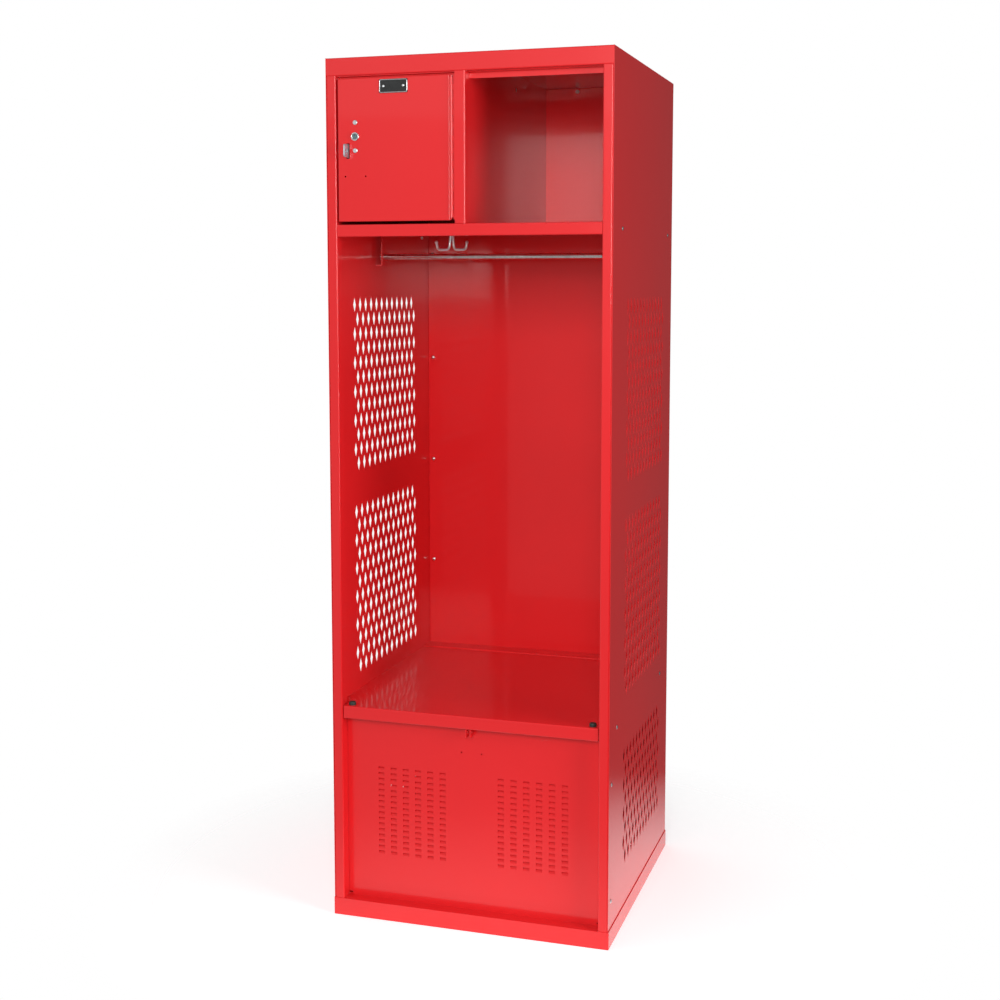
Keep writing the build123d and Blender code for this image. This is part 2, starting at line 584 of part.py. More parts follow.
def lid_hinge_back_leaf():
    """Leaf under the rear ledge, reaching back from the pin."""
    return lid_leaf(0, (0, 1, 0))


def lid_hinge_lid_leaf():
    """Leaf under the lid, reaching forward from the pin."""
    return lid_leaf(1, (0, -1, 0))


def lid_hinge_pin():
    """Pin of the lid's hinge."""
    return rod(PIN_R, (-LID_HINGE_X, SEAT_HINGE_Y, SEAT_HINGE_Z),
               (LID_HINGE_X, SEAT_HINGE_Y, SEAT_HINGE_Z))


# ---- security box door ---------------------------------------------------------------------
def lock_rivet_places():
    """Where the lock's rivets pass the door's face."""
    return [(LOCK_X, FRONT, LOCK_Z + way * RIVET_SPREAD) for way in (-1, 1)]


def name_rivet_places():
    """Where the name plate's rivets pass the door's face."""
    return [(NAME_PLATE_X + way * NAME_RIVET_SPACING / 2, FRONT, NAME_PLATE_Z) for way in (-1, 1)]


def box_door():
    """Pan door, with openings for its lock, the staple and a number plate."""
    height = DOOR_TOP - DOOR_BOTTOM
    width = DOOR_RIGHT - DOOR_LEFT
    middle = Pos((DOOR_LEFT + DOOR_RIGHT) / 2, FRONT, (DOOR_TOP + DOOR_BOTTOM) / 2)
    outer = Pos(0, DOOR_PAN / 2, 0) * Box(width, DOOR_PAN, height)
    outer = fillet(outer.edges().filter_by(Axis.Y, reverse=True).sort_by(Axis.Y)[:4], BEND)
    inner = Pos(0, DOOR_PAN / 2 + SHEET, 0) * Box(width - 2 * SHEET, DOOR_PAN, height - 2 * SHEET)
    bolt_middle = FRONT + BOLT_BACK + BOLT_THICK / 2
    cutters = [drill(LOCK_RING_R + HOLE_PLAY, (LOCK_X, FRONT, LOCK_Z), (0, 1, 0))]
    cutters += [drill(BOLT_R, place, (0, 1, 0)) for place in lock_rivet_places()]
    cutters += [drill(NAME_HOLE_R, place, (0, 1, 0)) for place in name_rivet_places()]
    cutters += [drill(PLATE_HOLE_R, (LOCK_X + way * PLATE_HOLE_SPACING / 2, FRONT,
                                     LOCK_Z - PLATE_HOLE_DROP), (0, 1, 0)) for way in (-1, 1)]
    cutters.append(block(around(STAPLE_X + STAPLE_THICK / 2, STAPLE_THICK / 2 + STAPLE_SLOT_CLEAR),
                         around(FRONT, 2 * SHEET),
                         around(STAPLE_Z, STAPLE_HEIGHT / 2 + STAPLE_SLOT_CLEAR)))
    cutters.append(block(around(DOOR_LEFT, 2 * SHEET),
                         around(bolt_middle, BOLT_THICK / 2 + BOLT_SLIDE_PLAY),
                         around(LOCK_Z, BOLT_WIDTH / 2 + BOLT_SLIDE_PLAY)))
    return middle * (outer - inner) - cutters


def name_plate():
    """Blank plate near the door's top edge."""
    width, height, thick = NAME_PLATE
    plate = extrude(Plane.XZ * RectangleRounded(width, height, NAME_PLATE_ROUND), amount=thick)
    plate = Pos(NAME_PLATE_X, FRONT, NAME_PLATE_Z) * plate
    return plate - [drill(NAME_HOLE_R, place, (0, 1, 0)) for place in name_rivet_places()]


def rivet(place, head, shank_r, grip):
    """A round-head rivet from the front, its tail spread behind; place is under the head."""
    head_r, head_h = head
    cap = Pos(0, 0, -head_h / 2) * Cylinder(head_r, head_h)
    cap = fillet(cap.edges().sort_by(Axis.Z)[0], head_h * 0.8)
    shank = Pos(0, 0, grip / 2) * Cylinder(shank_r, grip)
    tail = Pos(0, 0, grip + RIVET_TAIL_H / 2) * Cylinder(shank_r * 1.5, RIVET_TAIL_H)
    return Plane(origin=place, z_dir=(0, 1, 0)) * (cap + shank + tail)


def name_plate_rivets():
    """Two rivets through the name plate and the door."""
    thick = NAME_PLATE[2]
    return solids_of([rivet((x, y - thick, z), NAME_RIVET_HEAD, NAME_RIVET_R, thick + SHEET)
                      for x, y, z in name_rivet_places()])


def lock_rivets():
    """Two rivets that hold the lock to the door."""
    return solids_of([rivet(place, RIVET_HEAD, BOLT_R - HOLE_PLAY, 2 * SHEET)
                      for place in lock_rivet_places()])


def lock_case():
    """Lock body with its mounting plate and the ring around the plug."""
    def centred(size, y0, y1):
        return block(around(LOCK_X, size[0] / 2), (FRONT + y0, FRONT + y1),
                     around(LOCK_Z, size[1] / 2))
    ring_front = (LOCK_X, FRONT - LOCK_RING_PROUD, LOCK_Z)
    case = centred(LOCK_PLATE, SHEET, 2 * SHEET) + centred(LOCK_BODY, 2 * SHEET, LOCK_BODY_BACK)
    case += rod(LOCK_RING_R, ring_front, (LOCK_X, FRONT + 2 * SHEET, LOCK_Z))
    cutters = [rod(PLUG_R + PIN_PLAY, ring_front, (LOCK_X, FRONT + PLUG_DEPTH + HOLE_PLAY, LOCK_Z))]
    cutters += [drill(BOLT_R, place, (0, 1, 0)) for place in lock_rivet_places()]
    cutters.append(block(around(LOCK_X, LOCK_BODY[0]),
                         around(FRONT + BOLT_BACK + BOLT_THICK / 2, BOLT_THICK / 2 + BOLT_SLIDE_PLAY),
                         around(LOCK_Z, BOLT_WIDTH / 2 + BOLT_SLIDE_PLAY)))
    return case - cutters


def lock_plug():
    """Keyed plug that turns in the lock."""
    front = FRONT - LOCK_RING_PROUD + PLUG_SUNK
    plug = rod(PLUG_R, (LOCK_X, front, LOCK_Z), (LOCK_X, FRONT + PLUG_DEPTH, LOCK_Z))
    width, depth, height = KEYWAY
    return plug - block(around(LOCK_X, width / 2), around(front, depth), around(LOCK_Z, height / 2))


def lock_bolt():
    """Flat bolt, withdrawn, its bevelled nose just out of the door's edge."""
    nose = DOOR_LEFT - BOLT_NOSE
    bolt = block((nose, nose + BOLT_LENGTH), (FRONT + BOLT_BACK, FRONT + BOLT_BACK + BOLT_THICK),
                 around(LOCK_Z, BOLT_WIDTH / 2))
    return fillet(bolt.edges().filter_by(Axis.Y).sort_by(Axis.X)[:2], BOLT_THICK * 0.4)


def box_staple():
    """Padlock staple: a foot welded to the left post and a lug through the door's slot."""
    foot_y = FRONT + STAPLE_FOOT_BACK
    z = around(STAPLE_Z, STAPLE_HEIGHT / 2)
    foot = block((-POST_X, STAPLE_X + STAPLE_THICK), (foot_y, foot_y + STAPLE_THICK), z)
    lug = block((STAPLE_X, STAPLE_X + STAPLE_THICK), (FRONT - STAPLE_PROUD, foot_y), z)
    lug = fillet(lug.edges().filter_by(Axis.X).sort_by(Axis.Y)[:2], STAPLE_ROUND)
    return foot + lug - drill(STAPLE_HOLE_R, (STAPLE_X, FRONT - STAPLE_PROUD / 2, STAPLE_Z), (1, 0, 0))


# ---- coat rod and hook ---------------------------------------------------------------------
def rod_screw_places(side):
    """Where the rod straps are screwed under the shelf."""
    x = side * (STRAP_X - STRAP_THICK - ROD_SCREW_IN)
    return [(x, ROD_Y + way * ROD_SCREW_BACK, SHELF_TOP) for way in (-1, 1)]


def rod_strap(side):
    """Strap hung from the shelf, its lower end turned to the wall."""
    inner = STRAP_X - STRAP_THICK
    y = around(ROD_Y, STRAP_WIDTH / 2)
    bottom = ROD_Z - STRAP_TAIL
    strap = block((side * inner, side * STRAP_X), y, (bottom, SHELF_Z))
    strap += block((side * (inner - STRAP_TAB), side * STRAP_X), y, (SHELF_Z - STRAP_THICK, SHELF_Z))
    strap += block((side * inner, side * IN_X), y, (bottom, bottom + STRAP_THICK))
    cutters = bolt_drills(rod_screw_places(side), (0, 0, 1))
    cutters.append(drill(ROD_R + ROD_PLAY, (side * STRAP_X, ROD_Y, ROD_Z), (1, 0, 0)))
    return strap - cutters


def coat_rod():
    """Round bar between the two straps."""
    end = STRAP_X + ROD_PAST_STRAP
    return rod(ROD_R, (-end, ROD_Y, ROD_Z), (end, ROD_Y, ROD_Z))


def ceiling_hook():
    """Two prongs, bent from wire, on a round foot under the shelf."""
    y = FRONT + HOOK_BACK
    foot_r, foot_h = HOOK_FOOT
    neck_r, neck_h = HOOK_NECK
    top = SHELF_Z - foot_h
    bottom = SHELF_Z - HOOK_DROP + HOOK_WIRE_R
    pieces = [rod(neck_r, (HOOK_X, y, SHELF_Z - foot_h / 2), (HOOK_X, y, top - neck_h))]
    for side in SIDES:
        points = [(HOOK_X + side * HOOK_WIRE_R / 2, y, top - neck_h / 2),
                  (HOOK_X + side * HOOK_SPREAD, y, bottom),
                  (HOOK_X + side * HOOK_REACH, y, bottom),
                  (HOOK_X + side * (HOOK_REACH + HOOK_WIRE_R), y, bottom + HOOK_TIP)]
        path = FilletPolyline(*points, radius=HOOK_BEND)
        section = Plane(origin=path @ 0, z_dir=path % 0) * Circle(HOOK_WIRE_R)
        pieces.append(sweep(section, path=path))
        pieces.append(Pos(*(path @ 1)) * Sphere(HOOK_WIRE_R * 4 / 3))
    pieces.append(rod(BOLT_R, (HOOK_X, y, top), (HOOK_X, y, SHELF_TOP + HOOK_HEAD_H / 2)))
    pieces.append(Pos(HOOK_X, y, SHELF_TOP + HOOK_HEAD_H / 2) * Cylinder(BOLT_HEAD_R, HOOK_HEAD_H))
    foot = Pos(HOOK_X, y, SHELF_Z - foot_h / 2) * Cylinder(foot_r, foot_h)
    return foot.fuse(*pieces)


# ---- foot locker and lid -------------------------------------------------------------------
def louvre_places():
    """Middles of the louvres, as X and Z."""
    places = []
    for group in SIDES:
        for column in range(LOUVRE_COLUMNS):
            x = group * LOUVRE_GROUP_X + (column - (LOUVRE_COLUMNS - 1) / 2) * LOUVRE_PITCH_X
            places += [(x, LOUVRE_TOP - row * LOUVRE_PITCH_Z) for row in range(LOUVRE_ROWS)]
    return places


def louvre_tongue():
    """One tongue, pressed in from its lower edge, about the middle of its opening."""
    low = -LOUVRE_HEIGHT / 2
    high = LOUVRE_HEIGHT / 2 - LOUVRE_LIP
    root = low - TONGUE_ROOT
    section = Polyline((0, root), (SHEET, root), (SHEET, low), (LOUVRE_DEPTH + SHEET, high),
                       (LOUVRE_DEPTH, high), (0, low), close=True)
    plane = Plane(origin=(-LOUVRE_WIDTH / 2, 0, 0), x_dir=(0, 1, 0), z_dir=(1, 0, 0))
    return extrude(plane * make_face(section), amount=LOUVRE_WIDTH, dir=(1, 0, 0))


def foot_locker_front():
    """Louvred front of the foot locker, set back between the posts."""
    y = FRONT + PANEL_BACK
    half = IN_X - SHEET
    bottom = PLINTH_HEIGHT
    notch_x = POST_X - PANEL_NOTCH[0]
    notch_z = bottom + PANEL_NOTCH[1]
    corner_x = half - CORNER_CUT
    corner_z = PANEL_TOP - CORNER_CUT
    right_edge = [(notch_x, 0, bottom), (notch_x, 0, notch_z), (POST_X, 0, notch_z),
                  (POST_X, 0, bottom), (half, 0, bottom), (half, 0, corner_z),
                  (corner_x, 0, corner_z), (corner_x, 0, PANEL_TOP)]
    left_edge = [(-x, 0, z) for x, _, z in reversed(right_edge)]
    openings = []
    for x, z in louvre_places():
        x0, x1 = around(x, LOUVRE_WIDTH / 2)
        z0, z1 = around(z, LOUVRE_HEIGHT / 2)
        openings.append(Wire.make_polygon([(x0, 0, z0), (x0, 0, z1), (x1, 0, z1), (x1, 0, z0)]))
    for way in (-1, 1):
        plane = Plane(origin=(way * PLATE_HOLE_SPACING / 2, 0, PLATE_HOLES_Z), z_dir=(0, 1, 0))
        openings.append(Wire.make_circle(PLATE_HOLE_R, plane))
    face = Pos(0, y, 0) * Face(Wire.make_polygon(right_edge + left_edge), openings)
    sheet = extrude(face, amount=SHEET, dir=(0, 1, 0))
    tongue = louvre_tongue()
    pieces = [Pos(x, y, z) * tongue for x, z in louvre_places()]
    pieces.append(block((-corner_x, corner_x), (y, y + PANEL_TOP_FLANGE), (PANEL_TOP - SHEET, PANEL_TOP)))
    wing_top = SEAT_TOP - SEAT_FACE - PANEL_WING_DROP
    for side in SIDES:
        wing = block((side * half, side * (half - SHEET)), (y - PANEL_FLANGE, y + SHEET), (bottom, wing_top))
        pieces.append(wing - bolt_drills(side_bolt_places(side, FRONT_BOLTS), (1, 0, 0)))
    return sheet.fuse(*pieces)


def hasp_tab(x, back, z_top):
    """Upright padlock tab with its hole."""
    tab = block((x, x + HASP_THICK), (FRONT + back[0], FRONT + back[1]), (z_top - HASP_DROP, z_top))
    tab = fillet(tab.edges().filter_by(Axis.X).sort_by(Axis.Z)[:2], HASP_ROUND)
    return tab - drill(HASP_HOLE_R, (x, FRONT + HASP_HOLE_BACK, HASP_Z), (1, 0, 0))


def lid_hasp_tab():
    """Padlock tab under the lid's front edge."""
    return hasp_tab(-HASP_GAP / 2 - HASP_THICK, LID_TAB_BACK, SEAT_TOP - SEAT_FACE)


def front_hasp_tab():
    """Padlock tab on the foot locker's front."""
    return hasp_tab(HASP_GAP / 2, (FRONT_TAB_BACK, PANEL_BACK), SEAT_TOP - SEAT_FACE - HASP_LID_GAP)


def bumper_place(side):
    """Foot of a bumper on the lid."""
    return (side * (SEAT_SIDE - BUMPER_INSET), FRONT + SEAT_SETBACK + BUMPER_INSET, SEAT_TOP)


def seat_lid():
    """Bench lid: a sheet between the posts, with a front face and a hem."""
    face_y = FRONT + SEAT_SETBACK
    path = [(face_y + SEAT_HEM, SEAT_TOP - SEAT_FACE), (face_y, SEAT_TOP - SEAT_FACE),
            (face_y, SEAT_TOP), (SEAT_HINGE_Y - SEAT_REAR_GAP, SEAT_TOP)]
    lid = bent_along_x(path, -1, -SEAT_SIDE, SEAT_SIDE)
    return lid - [drill(BOLT_R, bumper_place(side), (0, 0, 1)) for side in SIDES]


def lid_bumpers():
    """Rubber bumpers that meet the back panel when the lid is thrown open."""
    bumpers = []
    for side in SIDES:
        cap = Pos(0, 0, BUMPER_HEIGHT / 2) * Cylinder(BUMPER_R, BUMPER_HEIGHT)
        cap = fillet(cap.edges().sort_by(Axis.Z)[-1], BUMPER_ROUND)
        stem = rod(BOLT_R - HOLE_PLAY, (0, 0, -SHEET - BUMPER_FLARE), (0, 0, HOLE_PLAY))
        flare = Pos(0, 0, -SHEET - BUMPER_FLARE / 2) * Cylinder(BOLT_R * 1.5, BUMPER_FLARE)
        bumpers.append(Pos(*bumper_place(side)) * (cap + stem + flare))
    return solids_of(bumpers)


def seat_ledge(side):
    """Angle on a side panel that carries the lid's edge, narrowed beside the hinge."""
    front = FRONT + PANEL_BACK + PANEL_TOP_FLANGE + LEDGE_CLEAR
    waist = SEAT_HINGE_Y - LEAF_WIDTH - LEDGE_CLEAR
    ledge_y = (front, BACK_FACE - SHEET - LEDGE_FIT)
    sheet_z = (PANEL_TOP - SHEET, PANEL_TOP)
    ledge = block((side * IN_X, side * (IN_X - SHEET)), ledge_y, (PANEL_TOP - LEDGE_DROP, PANEL_TOP))
    ledge += block((side * IN_X, side * (SEAT_SIDE + LEDGE_FIT)), ledge_y, sheet_z)
    ledge += block((side * IN_X, side * (IN_X - LEDGE_WIDTH)), (front, waist), sheet_z)
    return ledge - bolt_drills(side_bolt_places(side, LEDGE_BOLTS), (1, 0, 0))


def rear_ledge():
    """Fixed strip behind the lid, its rear leg down the back panel."""
    path = [(BACK_FACE, SEAT_TOP - REAR_LEG), (BACK_FACE, SEAT_TOP),
            (SEAT_HINGE_Y + SEAT_REAR_GAP, SEAT_TOP)]
    return bent_along_x(path, 1, -IN_X, IN_X)


# ---- bolt groups ---------------------------------------------------------------------------
def side_bolts(spots, layers):
    """Bolts through both side panels and the pieces inside them."""
    return solids_of([dome_bolt(place, (-side, 0, 0), layers * SHEET)
                      for side in SIDES for place in side_bolt_places(side, spots)])


def rod_screws():
    """Bolts through the shelf and the tops of the rod straps."""
    return solids_of([dome_bolt(place, (0, 0, -1), SHEET + STRAP_THICK)
                      for side in SIDES for place in rod_screw_places(side)])


def rear_bolts(places):
    """Bolts from inside through the back panel and a rear flange."""
    return solids_of([dome_bolt(place, (0, 1, 0), 2 * SHEET) for place in places])


parts = {
    "left_side_panel": side_panel(-1),
    "right_side_panel": side_panel(1),
    "left_front_post": front_post(-1),
    "right_front_post": front_post(1),
    "top_panel": top_panel(),
    "back_panel": back_panel(),
    "plinth": plinth(),
    "floor_pan": floor_pan(),
    "shelf": shelf(),
    "partition": partition(),
    "partition_clip": partition_clip(),
    "box_top_stop": hanging_lip(BOX_STOP_BACK + SHEET, -POST_X + LIP_END, PARTITION_LEFT - LIP_END),
    "cubby_top_lip": hanging_lip(HEADER_RETURN, PARTITION_X + LIP_END, POST_X - LIP_END),
    "box_door": box_door(),
    "door_hinge_frame_leaf": door_hinge_frame_leaf(),
    "door_hinge_door_leaf": door_hinge_door_leaf(),
    "door_hinge_pin": door_hinge_pin(),
    "name_plate": name_plate(),
    "name_plate_rivets": name_plate_rivets(),
    "lock_case": lock_case(),
    "lock_rivets": lock_rivets(),
    "lock_plug": lock_plug(),
    "lock_bolt": lock_bolt(),
    "box_staple": box_staple(),
    "coat_rod": coat_rod(),
    "left_rod_strap": rod_strap(-1),
    "right_rod_strap": rod_strap(1),
    "ceiling_hook": ceiling_hook(),
    "foot_locker_front": foot_locker_front(),
    "seat_lid": seat_lid(),
    "lid_hinge_back_leaf": lid_hinge_back_leaf(),
    "lid_hinge_lid_leaf": lid_hinge_lid_leaf(),
    "lid_hinge_pin": lid_hinge_pin(),
    "lid_hasp_tab": lid_hasp_tab(),
    "front_hasp_tab": front_hasp_tab(),
    "lid_bumpers": lid_bumpers(),
    "left_seat_ledge": seat_ledge(-1),
    "right_seat_ledge": seat_ledge(1),
    "rear_ledge": rear_ledge(),
    "shelf_bolts": side_bolts(SHELF_BOLTS, 2),
    "ledge_bolts": side_bolts(LEDGE_BOLTS, 2),
    "front_bolts": side_bolts(FRONT_BOLTS, 3),
    "rear_bolts": rear_bolts(REAR_BOLTS),
    "top_bolts": rear_bolts(TOP_BOLTS),
    "clip_bolt": dome_bolt(CLIP_BOLT, (-1, 0, 0), 2 * SHEET),
    "rod_screws": rod_screws(),
}

os.makedirs("parts", exist_ok=True)
for name, part in parts.items():
    export_step(part, f"parts/{name}.step")
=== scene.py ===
import json
import math

import bpy
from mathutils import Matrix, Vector


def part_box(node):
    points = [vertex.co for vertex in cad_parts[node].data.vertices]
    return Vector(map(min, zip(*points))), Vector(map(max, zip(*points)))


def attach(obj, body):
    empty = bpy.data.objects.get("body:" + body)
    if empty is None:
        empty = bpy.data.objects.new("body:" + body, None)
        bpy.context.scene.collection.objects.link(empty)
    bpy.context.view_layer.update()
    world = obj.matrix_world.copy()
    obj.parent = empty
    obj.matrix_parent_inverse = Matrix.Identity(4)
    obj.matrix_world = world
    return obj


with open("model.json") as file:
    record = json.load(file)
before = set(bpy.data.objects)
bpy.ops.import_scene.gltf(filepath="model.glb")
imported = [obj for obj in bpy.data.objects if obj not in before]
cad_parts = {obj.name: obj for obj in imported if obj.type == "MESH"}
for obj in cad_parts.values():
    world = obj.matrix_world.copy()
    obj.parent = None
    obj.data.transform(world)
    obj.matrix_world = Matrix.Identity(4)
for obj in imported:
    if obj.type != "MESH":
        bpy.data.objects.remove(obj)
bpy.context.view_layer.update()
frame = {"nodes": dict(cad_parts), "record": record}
DOOR = "box_door"
LID = "bench_lid"

# ---- sizes of the added detail, metres -----------------------------------------------------
BORDER_INSET = 0.0013     # from the name plate's edge to the middle of its border
BORDER_THICK = 0.0008     # half the width of the border's bead
BORDER_ROUND = 0.0035     # radius of the border's corners
LOCK_BEAD = 0.0009        # half the width of the bead round the lock's ring
BUMPER_BEAD = 0.0005      # half the width of the mould line round a bumper
BUMPER_LINE = 0.30        # height of the mould line as a share of the bumper's
BEAD_ROUNDNESS = 3        # Blender's bevel resolution of every bead
CORNER_STEPS = 6          # points on a quarter turn
CIRCLE_STEPS = 48         # points on a full turn

# ---- camera, metres, degrees and millimetres of lens ---------------------------------------
CAMERA_PLACE = (0.97419, -3.18518, 1.36981)
CAMERA_YAW = 17.34        # turned to the left of straight ahead
CAMERA_PITCH = 5.83       # looking down
CAMERA_LENS = 53.79
CAMERA_SENSOR = 36.0
CAMERA_SHIFT = -0.065     # small, so that the locker isn't cut off in other views

# ---- lights: metres and watts --------------------------------------------------------------
KEY_PLACE = (0.65, -3.6, 1.95)       # off to the right, so that the front doesn't mirror it
KEY_TARGET = (0, 0, 0.95)
KEY_SIZE = (1.4, 1.4)
KEY_POWER = 76
FILL_PLACE = (3.2, -1.3, 1.4)        # lights the right side
FILL_TARGET = (0, 0, 0.9)
FILL_SIZE = (1.2, 2.2)
FILL_POWER = 72
SHEEN_PLACE = (-1.1, -3.4, 2.5)      # faint, from the upper left
SHEEN_TARGET = (0, 0, 1.4)
SHEEN_SIZE = (1.8, 0.9)
SHEEN_POWER = 2.6
ROOM_LIGHT = (0.05, 0.75)            # the room's light on the right and on the left
ROOM_TURN = (0.35, -0.95)            # the X of a direction where each of them is reached

# ---- floor, metres -------------------------------------------------------------------------
FLOOR_DROP = 0.0005                  # keeps it clear of the locker's underside
FLOOR_EDGE = (0.40, 0.95)            # it fades out between these distances from the middle
FLOOR_CLOUD = 0.8
FLOOR_ROUGHNESS = 0.85
FLOOR_SHINE = 0.1
FLOOR_GLOW = 0.48

# ---- finishes: noise in features per metre, relief in metres -------------------------------
COAT_CLOUD = 2.2
COAT_PATCHES = 14.0
COAT_PEEL = 420.0
COAT_RELIEF = 0.00002
COAT_SHINE = 0.3
COAT_TOP_ROUGHNESS = 0.045
METAL_PATCHES = 90.0
METAL_RELIEF = 0.00002
ENAMEL_CLOUD = 160.0
ENAMEL_STIPPLE = 1800.0
ENAMEL_RELIEF = 0.00003
RUBBER_CLOUD = 240.0
RUBBER_RELIEF = 0.00015


def make_camera():
    """The camera of the main view."""
    data = bpy.data.cameras.new("camera")
    data.lens = CAMERA_LENS
    data.sensor_width = CAMERA_SENSOR
    data.shift_y = CAMERA_SHIFT
    camera = bpy.data.objects.new("camera", data)
    camera.location = CAMERA_PLACE
    camera.rotation_euler = (math.radians(90 - CAMERA_PITCH), 0, math.radians(CAMERA_YAW))
    bpy.context.scene.collection.objects.link(camera)
    bpy.context.scene.camera = camera


# ---- material helpers ----------------------------------------------------------------------
def new_material(name):
    """A new material, its node tree and its shader."""
    material = bpy.data.materials.new(name)
    material.use_nodes = True
    tree = material.node_tree
    return material, tree, tree.nodes["Principled BSDF"]


def add(tree, kind, **values):
    """A new node with the given properties set."""
    node = tree.nodes.new(kind)
    for key, value in values.items():
        setattr(node, key, value)
    return node


def noise(tree, scale, detail=2.0, stretch=(1, 1, 1)):
    """Noise in object coordinates, features about 1/scale metres across."""
    place = add(tree, "ShaderNodeTexCoord")
    mapping = add(tree, "ShaderNodeMapping")
    mapping.inputs["Scale"].default_value = stretch
    texture = add(tree, "ShaderNodeTexNoise")
    texture.inputs["Scale"].default_value = scale
    texture.inputs["Detail"].default_value = detail
    tree.links.new(place.outputs["Object"], mapping.inputs["Vector"])
    tree.links.new(mapping.outputs["Vector"], texture.inputs["Vector"])
    return texture.outputs["Fac"]


def ramp(tree, source, low, high, start=0.3, end=0.7, curve="LINEAR"):
    """A value that goes from low to high as the source goes from start to end."""
    node = add(tree, "ShaderNodeMapRange", interpolation_type=curve)
    node.inputs["From Min"].default_value = start
    node.inputs["From Max"].default_value = end
    node.inputs["To Min"].default_value = low
    node.inputs["To Max"].default_value = high
    tree.links.new(source, node.inputs["Value"])
    return node.outputs["Result"]


def colours(tree, source, stops):
    """A colour ramp over a value."""
    node = add(tree, "ShaderNodeValToRGB")
    elements = node.color_ramp.elements
    while len(elements) < len(stops):
        elements.new(0.5)
    for element, (position, colour) in zip(elements, stops):
        element.position = position
        element.color = (*colour, 1)
    tree.links.new(source, node.inputs["Fac"])
    return node.outputs["Color"]


def bump(tree, source, depth, strength):
    """A surface normal with relief of a given depth in metres, from a value."""
    node = add(tree, "ShaderNodeBump")
    node.inputs["Strength"].default_value = strength
    node.inputs["Distance"].default_value = depth
    tree.links.new(source, node.inputs["Height"])
    return node.outputs["Normal"]


def powder_coat(name, dark, light, roughness, coat):
    """Gloss powder coat: fine orange peel, slight cloudiness and a clear top."""
    material, tree, shader = new_material(name)
    cloud = noise(tree, COAT_CLOUD, 3.0)
    tree.links.new(colours(tree, cloud, [(0.3, dark), (0.7, light)]), shader.inputs["Base Color"])
    patches = noise(tree, COAT_PATCHES, 4.0)
    gloss = ramp(tree, patches, roughness - 0.01, roughness + 0.015)
    tree.links.new(gloss, shader.inputs["Roughness"])
    peel = noise(tree, COAT_PEEL, 1.0)
    normal = bump(tree, peel, COAT_RELIEF, 0.4)
    tree.links.new(normal, shader.inputs["Normal"])
    tree.links.new(normal, shader.inputs["Coat Normal"])
    shader.inputs["Specular IOR Level"].default_value = COAT_SHINE
    shader.inputs["Coat Weight"].default_value = coat
    shader.inputs["Coat Roughness"].default_value = COAT_TOP_ROUGHNESS
    return material


def metal(name, dark, light, roughness, grain, stretch=(1, 1, 1)):
    """Plated or drawn steel: patchy tone with fine lines along the grain."""
    material, tree, shader = new_material(name)
    patches = noise(tree, METAL_PATCHES, 3.0)
    tone = colours(tree, patches, [(0.25, dark), (0.75, light)])
    tree.links.new(tone, shader.inputs["Base Color"])
    lines = noise(tree, grain, 3.0, stretch)
    gloss = ramp(tree, lines, roughness - 0.08, roughness + 0.1)
    tree.links.new(gloss, shader.inputs["Roughness"])
    tree.links.new(bump(tree, lines, METAL_RELIEF, 0.5), shader.inputs["Normal"])
    shader.inputs["Metallic"].default_value = 1.0
    return material


def black_enamel(name):
    """Black enamel of the name plate, finely stippled."""
    material, tree, shader = new_material(name)
    cloud = noise(tree, ENAMEL_CLOUD, 3.0)
    stops = [(0.3, (0.006, 0.007, 0.007)), (0.7, (0.016, 0.018, 0.018))]
    tree.links.new(colours(tree, cloud, stops), shader.inputs["Base Color"])
    stipple = noise(tree, ENAMEL_STIPPLE, 2.0)
    tree.links.new(ramp(tree, stipple, 0.24, 0.36), shader.inputs["Roughness"])
    tree.links.new(bump(tree, stipple, ENAMEL_RELIEF, 0.5), shader.inputs["Normal"])
    return material


def rubber(name):
    """Moulded dark rubber with a matt, dusty skin."""
    material, tree, shader = new_material(name)
    cloud = noise(tree, RUBBER_CLOUD, 4.0)
    stops = [(0.3, (0.010, 0.022, 0.018)), (0.75, (0.030, 0.050, 0.043))]
    tree.links.new(colours(tree, cloud, stops), shader.inputs["Base Color"])
    tree.links.new(ramp(tree, cloud, 0.42, 0.6), shader.inputs["Roughness"])
    tree.links.new(bump(tree, cloud, RUBBER_RELIEF, 0.5), shader.inputs["Normal"])
    return material


RED = powder_coat("red_powder_coat", (0.755, 0.0150, 0.0185), (0.785, 0.0170, 0.0205), 0.25, 0.40)
STAPLE_ZINC = metal("staple_zinc", (0.46, 0.58, 0.64), (0.62, 0.72, 0.77), 0.52, 700.0)
ZINC = metal("zinc_plate", (0.55, 0.57, 0.58), (0.82, 0.83, 0.84), 0.32, 900.0)
ROD_STEEL = metal("rod_steel", (0.50, 0.50, 0.49), (0.72, 0.72, 0.71), 0.24, 600.0, (0.02, 1, 1))
CHROME = metal("lock_chrome", (0.72, 0.73, 0.75), (0.92, 0.93, 0.94), 0.16, 1500.0)
PLUG = metal("plug_steel", (0.10, 0.16, 0.17), (0.28, 0.35, 0.36), 0.30, 1500.0)
BLACK = black_enamel("black_enamel")
RUBBER = rubber("bumper_rubber")

SLOT_MATERIALS = {"red_enamel": RED, "zinc_steel": ZINC, "bright_steel": CHROME,
                  "black_plate": BLACK, "rubber": RUBBER}
NODE_MATERIALS = {"coat_rod": ROD_STEEL, "lock_plug": PLUG, "box_staple": STAPLE_ZINC}


def dress_cad():
    """Gives every CAD node its material."""
    slots = {row["node"]: row["material_slot"] for row in frame["record"]["subparts"]}
    for name, node in frame["nodes"].items():
        material = NODE_MATERIALS.get(name, SLOT_MATERIALS[slots[name]])
        node.data.materials.clear()
        node.data.materials.append(material)


